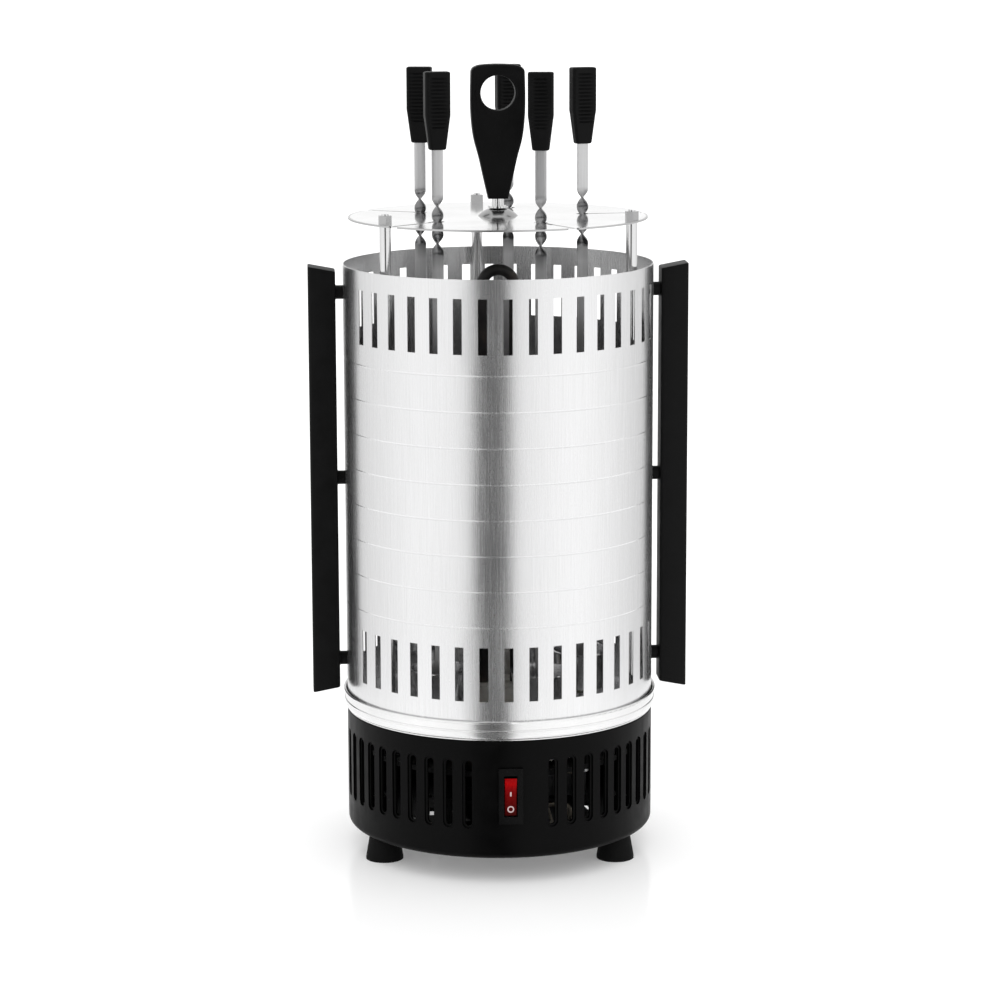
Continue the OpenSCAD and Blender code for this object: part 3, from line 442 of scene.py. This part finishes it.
def rounding(z, low, high, r):
    """How far an edge of radius r pulls in at height z between low and high."""
    near = min(z - low, high - z)
    if near >= r:
        return 0.0
    return r - sqrt(max(r * r - (r - near) ** 2, 0.0))


def heights(low, high, step, r, fine=5):
    """Heights from low to high, finer within r of each end."""
    ends = [r * (1 - cos(pi / 2 * k / fine)) for k in range(fine + 1)]
    inner = max(int((high - low - 2 * r) / step), 1)
    middle = [low + r + (high - low - 2 * r) * k / inner for k in range(1, inner)]
    return [low + e for e in ends] + middle + [high - e for e in reversed(ends)]


# ---------------------------------------------------------------- skewers

SKEWER_TURNS = (-6, 16, 12, -10, 8)
BLADE_W, BLADE_T, BLADE_EDGE = 6.6, 1.2, 0.35
BLADE_TIP, BLADE_TIP_HALF_W = 5.0, 0.8
TWIST_HALF, TWIST_HALVES, TWIST_TOP_GAP = 11.3, 3, 26
GRIP_W, GRIP_BOTTOM_W, GRIP_T, GRIP_BOTTOM_T = 14.6, 9.6, 8.4, 6.4
GRIP_TAPER, GRIP_CORNER, GRIP_END_R, GRIP_STEP = 20, 1.7, 1.0, 0.28
RIB_COUNT, RIB_Z0, RIB_PITCH, RIB_W, RIB_DEPTH = 14, 12, 2.1, 1.0, 0.7


def box_mm(node):
    low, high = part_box(node)
    return low / MM, high / MM


def grip_half(z, top, bottom):
    """Half width of a grip z above its lower end, easing from the taper to the straight."""
    t = min(z / GRIP_TAPER, 1.0)
    bend = 0.85
    rest = 1 - bend
    ease = t if t < bend else bend + rest * sin((t - bend) / rest * pi / 2) * 0.95
    return (bottom + (top - bottom) * ease) / 2


def rib_depth(x, half, z):
    """Depth of the finger ribs at x across a face of the given half width."""
    k = round((z - RIB_Z0 - RIB_W / 2) / RIB_PITCH)
    if not 0 <= k < RIB_COUNT:
        return 0.0
    off = abs(z - (RIB_Z0 + RIB_W / 2 + k * RIB_PITCH)) / (RIB_PITCH / 2)
    across = 1 - smooth((abs(x) / half - 0.56) / 0.12)
    return RIB_DEPTH * across * (1 - smooth(off / 0.8))


def make_grip(i, centre, turn):
    low, high = box_mm(f"skewer_grip_{i}")
    height = high.z - low.z
    rings = []
    for z in heights(0, height, GRIP_STEP, GRIP_END_R):
        pull = rounding(z, 0, height, GRIP_END_R)
        a = grip_half(z, GRIP_W, GRIP_BOTTOM_W) - pull
        b = grip_half(z, GRIP_T, GRIP_BOTTOM_T) - pull
        ring = []
        for x, y in rounded_rectangle(a, b, GRIP_CORNER, corner=5, flat=9):
            if abs(y) > b - 1e-6:
                y -= rib_depth(x, a, z) * (1 if y > 0 else -1)
            ring.append((x, y, low.z + z))
        rings.append(ring)
    points, faces = loft(rings)
    return make_piece(f"grip_{i}", placed(points, centre, turn), faces, f"skewer_{i}",
                      "grip_plastic", [f"skewer_grip_{i}"])


def placed(points, centre, turn):
    """Points turned about +Z and moved to centre."""
    c, s = cos(radians(turn)), sin(radians(turn))
    return [(centre[0] + x * c - y * s, centre[1] + x * s + y * c, z) for x, y, z in points]


def twist_angle(z, start, end):
    """Turn of the blade at height z, easing in and out of the twisted stretch."""
    t = min(max((z - start) / (end - start), 0.0), 1.0)
    ease = 0.06
    if t < ease:
        t = t * t / (2 * ease) / (1 - ease)
    elif t > 1 - ease:
        t = 1 - (1 - t) ** 2 / (2 * ease) / (1 - ease)
    else:
        t = (t - ease / 2) / (1 - ease)
    return -180 * TWIST_HALVES * t


def make_blade(i, centre, turn):
    low, high = box_mm(f"skewer_blade_{i}")
    grip_low = box_mm(f"skewer_grip_{i}")[0].z
    twist_end = grip_low - TWIST_TOP_GAP
    twist_start = twist_end - TWIST_HALF * TWIST_HALVES
    shoulder = low.z + BLADE_TIP
    levels = [low.z + BLADE_TIP * k / 6 for k in range(7)]
    levels += [shoulder + (twist_start - shoulder) * k / 12 for k in range(1, 12)]
    levels += [twist_start + (twist_end - twist_start) * k / 150 for k in range(151)]
    levels += [twist_end + 2, grip_low, high.z - 1]
    rings = []
    for z in levels:
        half = BLADE_W / 2
        if z < shoulder:
            gain = sin(pi / 2 * (z - low.z) / BLADE_TIP)
            half = BLADE_TIP_HALF_W + (half - BLADE_TIP_HALF_W) * gain
        a = radians(twist_angle(z, twist_start, twist_end))
        ring = [(x * cos(a) - y * sin(a), x * sin(a) + y * cos(a), z)
                for x, y in rounded_rectangle(half, BLADE_T / 2, BLADE_EDGE, corner=3, flat=3)]
        rings.append(ring)
    points, faces = loft(rings)
    return make_piece(f"blade_{i}", placed(points, centre, turn), faces, f"skewer_{i}",
                      "blade_steel", [f"skewer_blade_{i}"])


for i, turn in enumerate(SKEWER_TURNS, 1):
    low, high = box_mm(f"skewer_grip_{i}")
    centre = ((low.x + high.x) / 2, (low.y + high.y) / 2)
    make_grip(i, centre, turn)
    make_blade(i, centre, turn)


# ---------------------------------------------------------------- lift handle

LIFT_SIDE = ((0, 5.7), (11.9, 8.4), (23.6, 11.0), (35.1, 14.0), (47.1, 15.4), (58.6, 15.7),
             (73, 15.4))
HOLE_R = 10
LIFT_CORNER_R, LIFT_CROWN = 3.6, 1.2
LIFT_EDGE_R, HOLE_EDGE_R = 1.3, 0.9
LIFT_DISH = 0.25                # how far each face dips between its edge and the hole


def curve_at(table, t):
    """A smooth curve through (position, value) pairs."""
    k = max(i for i in range(len(table) - 1) if table[i][0] <= t)
    (t0, v0), (t1, v1) = table[k], table[k + 1]
    before, after = table[max(k - 1, 0)], table[min(k + 2, len(table) - 1)]
    m0 = (v1 - before[1]) / (t1 - before[0])
    m1 = (after[1] - v0) / (after[0] - t0)
    h, u = t1 - t0, (t - t0) / (t1 - t0)
    return (v0 * (1 + 2 * u) * (1 - u) ** 2 + m0 * h * u * (1 - u) ** 2
            + v1 * u * u * (3 - 2 * u) + m1 * h * u * u * (u - 1))


def lift_outline(height):
    """Half of the lift handle's outline, as (x, z), from the neck up to the top centre."""
    edge_z = height - LIFT_CROWN - LIFT_CORNER_R
    right = [(curve_at(LIFT_SIDE, edge_z * k / 60), edge_z * k / 60) for k in range(61)]
    x, r = right[-1][0], LIFT_CORNER_R
    right += [(x - r + r * cos(radians(a)), edge_z + r * sin(radians(a)))
              for a in range(10, 86, 10)]
    x_top, z_top = right[-1]
    right += [(x_top * cos(pi / 2 * k / 8), z_top + (height - z_top) * sin(pi / 2 * k / 8))
              for k in range(1, 9)]
    return right


def inset(outline, distance):
    """A closed outline moved inwards, anticlockwise."""
    n = len(outline)
    moved = []
    for k in range(n):
        (x0, z0), (x1, z1) = outline[k - 1], outline[(k + 1) % n]
        dx, dz = x1 - x0, z1 - z0
        length = hypot(dx, dz)
        x, z = outline[k]
        moved.append((x - dz / length * distance, z + dx / length * distance))
    return moved


def hole_ring(angles, r, hole_z):
    return [(r * cos(a), hole_z + r * sin(a)) for a in angles]


def lift_sections(outline, angles, hole_z, half):
    """The front face's rings from its outer edge in to the hole, each as (outline, depth)."""
    sections = []
    for k in range(5, -1, -1):
        a = pi / 2 * k / 5
        shape = inset(outline, LIFT_EDGE_R * (1 - sin(a)))
        sections.append((shape, half - LIFT_EDGE_R * (1 - cos(a))))
    outer = inset(outline, LIFT_EDGE_R)
    inner = hole_ring(angles, HOLE_R + HOLE_EDGE_R, hole_z)
    for t in (0.15, 0.4, 0.65, 0.88):
        shape = [(p[0] + (q[0] - p[0]) * t, p[1] + (q[1] - p[1]) * t)
                 for p, q in zip(outer, inner)]
        sections.append((shape, half - LIFT_DISH * smooth(abs(t - 0.5) * 2)))
    for k in range(5):
        a = pi / 2 * k / 4
        r = HOLE_R + HOLE_EDGE_R * (1 - sin(a))
        sections.append((hole_ring(angles, r, hole_z), half - HOLE_EDGE_R * (1 - cos(a))))
    return sections


def make_lift_handle():
    low, high = box_mm("lift_handle")
    mount = next(m for m in frame["record"]["mounts"] if m["name"] == "hanging_hole")
    hole_z = mount["pos_m"][2] / MM - low.z
    right = lift_outline(high.z - low.z)
    left = [(-x, z) for x, z in reversed(right[:-1])]
    foot_half = right[0][0]
    bottom = [(foot_half * (k / 4 - 1), 0.0) for k in range(1, 8)]
    outline = right + left + bottom
    angles = [atan2(z - hole_z, x) for x, z in outline]
    front = lift_sections(outline, angles, hole_z, (high.y - low.y) / 2)
    both = [(shape, -depth) for shape, depth in front]
    both += [(shape, depth) for shape, depth in reversed(front)]
    rings = [[(x, y, low.z + z) for x, z in shape] for shape, y in both]
    points, faces = loft(rings, closed=True)
    make_piece("lift_handle_grip", points, faces, "root", "grip_plastic", ["lift_handle"])


make_lift_handle()


# ---------------------------------------------------------------- drum handles

PEG_R, PEG_FILLET = 4.0, 0.8
PEG_HEIGHTS = (112.9, 221, 329.7)
DRUM_R = 90.0
HANDLE_T, HANDLE_SLANT, HANDLE_EDGE_R, HANDLE_CORNER = 15.8, 3.0, 0.7, 1.6


def make_drum_handle(name, node, side):
    low, high = box_mm(node)
    reach = max(abs(low.x), abs(high.x))
    width = (high.y - low.y) / 2
    x_mid, half_t = reach - HANDLE_T / 2, HANDLE_T / 2
    middle = (low.z + high.z) / 2
    rings = []
    for z in heights(low.z, high.z, 9, HANDLE_EDGE_R):
        pull = rounding(z, low.z, high.z, HANDLE_EDGE_R)
        corner_r = HANDLE_CORNER - min(pull, 0.6)
        ring = []
        for x, y in rounded_rectangle(half_t - pull, width - pull, corner_r):
            inner = (half_t - x) / (2 * half_t)
            squeeze = 1 - inner * HANDLE_SLANT / (high.z - middle)
            ring.append((side * (x_mid + x), side * y, middle + (z - middle) * squeeze))
        rings.append(ring)
    bar = loft(rings)
    pegs = []
    wall = reach - HANDLE_T
    fillet = [(wall - PEG_FILLET * (1 - sin(pi / 2 * k / 5)),
               PEG_R + PEG_FILLET * (1 - cos(pi / 2 * k / 5))) for k in range(6)]
    for z in PEG_HEIGHTS:
        rings = []
        for x, r in [(DRUM_R, PEG_R), *fillet, (wall + 1.5, PEG_R + PEG_FILLET)]:
            ring = []
            for k in range(48):
                a = 2 * pi * k / 48
                y = r * cos(a)
                x_here = max(x, sqrt(DRUM_R ** 2 - y * y)) if x < DRUM_R + 1 else x
                ring.append((side * x_here, side * y, z + r * sin(a)))
            rings.append(ring)
        pegs.append(loft(rings))
    points, faces = joined(bar, *pegs)
    make_piece(name, points, faces, "drum", "grip_plastic", [node])


make_drum_handle("drum_grip_right", "drum_handle_right", 1)
make_drum_handle("drum_grip_left", "drum_handle_left", -1)


# ---------------------------------------------------------------- switch

ROCKER_W, ROCKER_HALF_H, ROCKER_FACE, ROCKER_LEAN = 7.0, 11.3, 3.7, 6
ROCKER_EDGE_R, ROCKER_BLEND = 0.45, 1.5
# the rocker's back: its shoulders' depth and distance from each end, then its middle block
ROCKER_SHOULDER, ROCKER_SHOULDER_IN = 1.5, 2.2
ROCKER_BACK, ROCKER_BACK_HALF_H = 5, 3
PIN_R, PIN_OUT, PIN_CHAMFER = 1.25, 1.2, 0.2
MARK_OUT, MARK_SUNK = 0.07, 0.05
BAR_Z, BAR_HALF_W, BAR_HALF_H, BAR_CORNER = 1.6, 0.42, 1.35, 0.2
RING_Z, RING_R, RING_HOLE_R = -7.4, 1.95, 1.25


def rocker_face(t):
    """Depth of the rocker's face at height t from its pivot: two flats, blended in the middle."""
    past_middle = hypot(t, ROCKER_BLEND) - ROCKER_BLEND
    return -ROCKER_FACE - tan(radians(ROCKER_LEAN)) * past_middle


def on_rocker(x, depth, t, pivot):
    """A point given across, in depth and in height from the pivot, with the rocker's lean."""
    c, s = cos(radians(ROCKER_LEAN)), sin(radians(ROCKER_LEAN))
    return (pivot.x + x, pivot.y + depth * c - t * s, pivot.z + depth * s + t * c)


def make_rocker():
    joint = next(j for j in frame["joints"] if j["name"] == "rocker_tilt")
    pivot = Vector(joint["pos_m"]) / MM
    h, edge = ROCKER_HALF_H, ROCKER_EDGE_R
    face = [(rocker_face(t), t) for t in (-h + 2 * h * k / 40 for k in range(41))]
    top = [(face[-1][0] + edge * (1 - cos(a)), h - edge + edge * sin(a))
           for a in (pi / 2 * k / 4 for k in range(5))]
    face = [p for p in face if abs(p[1]) < h - edge]
    bottom = [(x, -t) for x, t in reversed(top)]
    back = [(ROCKER_SHOULDER, h - ROCKER_SHOULDER_IN), (ROCKER_BACK, ROCKER_BACK_HALF_H),
            (ROCKER_BACK, -ROCKER_BACK_HALF_H), (ROCKER_SHOULDER, ROCKER_SHOULDER_IN - h)]
    outline = bottom + face + top + back
    rings = []
    half = ROCKER_W / 2
    for x in heights(-half, half, 1.0, edge):
        pull = rounding(x, -half, half, edge)
        ring = inset(outline, -pull)
        rings.append([on_rocker(x, depth, t, pivot) for depth, t in ring])
    pins = []
    for side in (1, -1):
        rings_of_pin = []
        for x, r in [(half - 0.5, PIN_R), (half + PIN_OUT, PIN_R),
                     (half + PIN_OUT + PIN_CHAMFER, PIN_R - PIN_CHAMFER)]:
            rings_of_pin.append([(pivot.x + side * x, pivot.y + side * r * cos(2 * pi * k / 24),
                                  pivot.z + r * sin(2 * pi * k / 24)) for k in range(24)])
        pins.append(loft(rings_of_pin))
    points, faces = joined(loft(rings), *pins)
    make_piece("rocker_cap", points, faces, "rocker", "rocker_red", ["switch_rocker"])
    make_marks(pivot)


def raised(outline, pivot, hole=None):
    """A mark standing MARK_OUT proud of the rocker's face, from its outline as (x, t)."""
    def level(shape, out):
        return [on_rocker(x, rocker_face(t) - out, t, pivot) for x, t in shape]
    if hole:
        return loft([level(outline, -MARK_SUNK), level(outline, MARK_OUT),
                     level(hole, MARK_OUT), level(hole, -MARK_SUNK)], closed=True)
    return loft([level(outline, -MARK_SUNK), level(outline, MARK_OUT)])


def circle(t, r, count=40):
    return [(r * cos(2 * pi * k / count), t + r * sin(2 * pi * k / count))
            for k in range(count)]


def make_marks(pivot):
    """The generic on and off marks: a short bar above, a ring below."""
    bar = [(x, BAR_Z + t) for x, t in rounded_rectangle(BAR_HALF_W, BAR_HALF_H, BAR_CORNER)]
    ring = raised(circle(RING_Z, RING_R), pivot, circle(RING_Z, RING_HOLE_R))
    points, faces = joined(raised(bar, pivot), ring)
    marks = make_piece("rocker_marks", points, faces, "rocker", "block_plastic")
    marks.data.materials.clear()
    marks.data.materials.append(MARKS)


make_rocker()


# ---------------------------------------------------------------- floor, light and camera

FLOOR_GLOW = 0.2                # the white floor is lit from below as well


def make_floor():
    size = 12.0
    mesh = bpy.data.meshes.new("floor")
    mesh.from_pydata([(-size, -size, 0), (size, -size, 0), (size, size, 0), (-size, size, 0)],
                     [], [(0, 1, 2, 3)])
    floor = bpy.data.objects.new("floor", mesh)
    scene.collection.objects.link(floor)
    f = Finish("floor_white", Specular_IOR_Level=0.5)
    f.colour(f.ramp(f.noise(3), (0.3, grey(0.965)), (0.7, grey(0.975))))
    f.roughness(f.spread(f.noise(5), 0.14, 0.18))
    f.shader.inputs["Emission Color"].default_value = (1, 1, 1, 1)
    f.shader.inputs["Emission Strength"].default_value = FLOOR_GLOW
    mesh.materials.append(f.material)


TENT_R, TENT_H = 0.45, 1.5
TENT_STEPS = 180
FLAG_MIDDLE, FLAG_HALF = -4.2, 12.3      # degrees round from the camera, to its right
# where the flag's wedge of floor begins: its distance, and its share of the flag's turn
FLAG_NEAR, FLAG_NEAR_TURN = 0.098, 0.6
FLAG_LIFT, FLAG_STEPS = 0.002, 8
FLAG_SHADE = 0.075
# brightness of the tent's lower wall at angles in degrees from the camera, to its right
TENT_GLOW = ((-180, 0.72), (-140, 0.72), (-115, 0.86), (-86, 1.03), (-57, 1.18), (-33, 1.14),
             (-22, 1.08), (22, 1.1), (45, 1.22), (60, 1.22), (88, 1.05), (106, 0.9),
             (130, 0.76), (180, 0.72))
# brightness of its upper wall, and the heights between which the one turns into the other
TENT_TOP = 1.06
TENT_TURNS_AT = (0.28, 0.42)


def around(turn, r):
    """A point in plan at an angle in degrees from the camera, to its right."""
    a = radians(turn) - CAMERA_TURN
    return (r * sin(a), -r * cos(a))


def reflector(name, points, faces, finish):
    """A panel of the light tent; it only shows in reflections."""
    mesh = bpy.data.meshes.new(name)
    mesh.from_pydata(points, [], faces)
    mesh.materials.append(finish.material)
    panel = bpy.data.objects.new(name, mesh)
    scene.collection.objects.link(panel)
    for ray in ("camera", "diffuse", "transmission", "volume_scatter", "shadow"):
        setattr(panel, "visible_" + ray, False)


def make_tent():
    """A glowing wall around the grill, open where the dark flag stands before the camera."""
    wall = Finish("tent_wall", Specular_IOR_Level=0.0)
    turned = wall.node("ShaderNodeVectorRotate", {"Vector": wall.place, "Angle": CAMERA_TURN},
                       rotation_type="Z_AXIS")
    plan = wall.node("ShaderNodeSeparateXYZ", {"Vector": turned.outputs[0]}).outputs
    turn = wall.maths("ARCTAN2", plan["X"], wall.maths("MULTIPLY", plan["Y"], -1.0))
    stops = [((a + 180) / 360, grey(glow)) for a, glow in TENT_GLOW]
    low = wall.ramp(wall.spread(turn, 0, 1, -pi, pi), *stops)
    above = wall.spread(wall.height(), 0, 1, *TENT_TURNS_AT)
    glow = wall.blend(above, low, (*grey(TENT_TOP), 1))
    wall.tree.links.new(glow, wall.shader.inputs["Emission Color"])
    wall.shader.inputs["Emission Strength"].default_value = 1.0
    wall.shader.inputs["Base Color"].default_value = (0, 0, 0, 1)
    points = []
    first, last = FLAG_MIDDLE + FLAG_HALF, FLAG_MIDDLE - FLAG_HALF + 360
    for k in range(TENT_STEPS + 1):
        x, y = around(first + (last - first) * k / TENT_STEPS, TENT_R)
        points += [(x, y, 0), (x, y, TENT_H)]
    faces = [(2 * k, 2 * k + 1, 2 * k + 3, 2 * k + 2) for k in range(TENT_STEPS)]
    reflector("tent_wall", points, faces, wall)


def make_flag():
    """The dark flag: an upright sector of the tent and the wedge of floor before it.

    It is clear from behind, so that the floor doesn't mirror its underside.
    """
    dark = Finish("flag", Specular_IOR_Level=0.0)
    dark.colour(dark.ramp(dark.noise(2), (0.3, grey(FLAG_SHADE)), (0.7, grey(FLAG_SHADE * 1.1))))
    glass = dark.node("ShaderNodeBsdfTransparent")
    behind = dark.node("ShaderNodeNewGeometry").outputs["Backfacing"]
    seen = dark.node("ShaderNodeMixShader", {0: behind, 1: dark.shader.outputs[0],
                                             2: glass.outputs[0]})
    surface = dark.tree.nodes["Material Output"].inputs["Surface"]
    dark.tree.links.new(seen.outputs[0], surface)
    points, faces = [], []
    for k in range(FLAG_STEPS + 1):
        turn = FLAG_MIDDLE + FLAG_HALF * (2 * k / FLAG_STEPS - 1)
        x, y = around(turn, TENT_R)
        x0, y0 = around(turn * FLAG_NEAR_TURN, FLAG_NEAR)
        points += [(x0, y0, FLAG_LIFT), (x, y, FLAG_LIFT), (x, y, TENT_H)]
    for k in range(FLAG_STEPS):
        a, b = 3 * k, 3 * k + 3
        faces += [(a, a + 1, b + 1, b), (a + 1, a + 2, b + 2, b + 1)]
    reflector("front_flag", points, faces, dark)


WORLD_GLOW = 1.15


def make_world():
    world = bpy.data.worlds.new("studio")
    world.use_nodes = True
    scene.world = world
    background = world.node_tree.nodes["Background"]
    background.inputs["Color"].default_value = (1, 1, 1, 1)
    background.inputs["Strength"].default_value = WORLD_GLOW
    world.cycles.sampling_method = "NONE"


CAMERA_TURN = radians(4)        # the camera stands this far round from the switch
CAMERA_PITCH = radians(10.6)
CAMERA_AWAY = 1816 * MM
CAMERA_UP = 545.8 * MM
CAMERA_ASIDE = 0.7 * MM
CAMERA_ROLL = radians(0.18)
CAMERA_LENS = 113.3             # for a sensor 36 wide


def make_camera():
    camera = bpy.data.objects.new("camera", bpy.data.cameras.new("camera"))
    camera.data.sensor_width = 36
    camera.data.lens = CAMERA_LENS
    forward = Vector((sin(CAMERA_TURN), cos(CAMERA_TURN), 0))
    right = Vector((cos(CAMERA_TURN), -sin(CAMERA_TURN), 0))
    camera.location = -forward * CAMERA_AWAY + right * CAMERA_ASIDE + Vector((0, 0, CAMERA_UP))
    look = forward * cos(CAMERA_PITCH) - Vector((0, 0, sin(CAMERA_PITCH)))
    camera.rotation_mode = "QUATERNION"
    level = look.to_track_quat("-Z", "Y")
    camera.rotation_quaternion = Quaternion(look, CAMERA_ROLL) @ level
    scene.collection.objects.link(camera)
    scene.camera = camera


make_floor()
make_world()
make_tent()
make_flag()
make_camera()
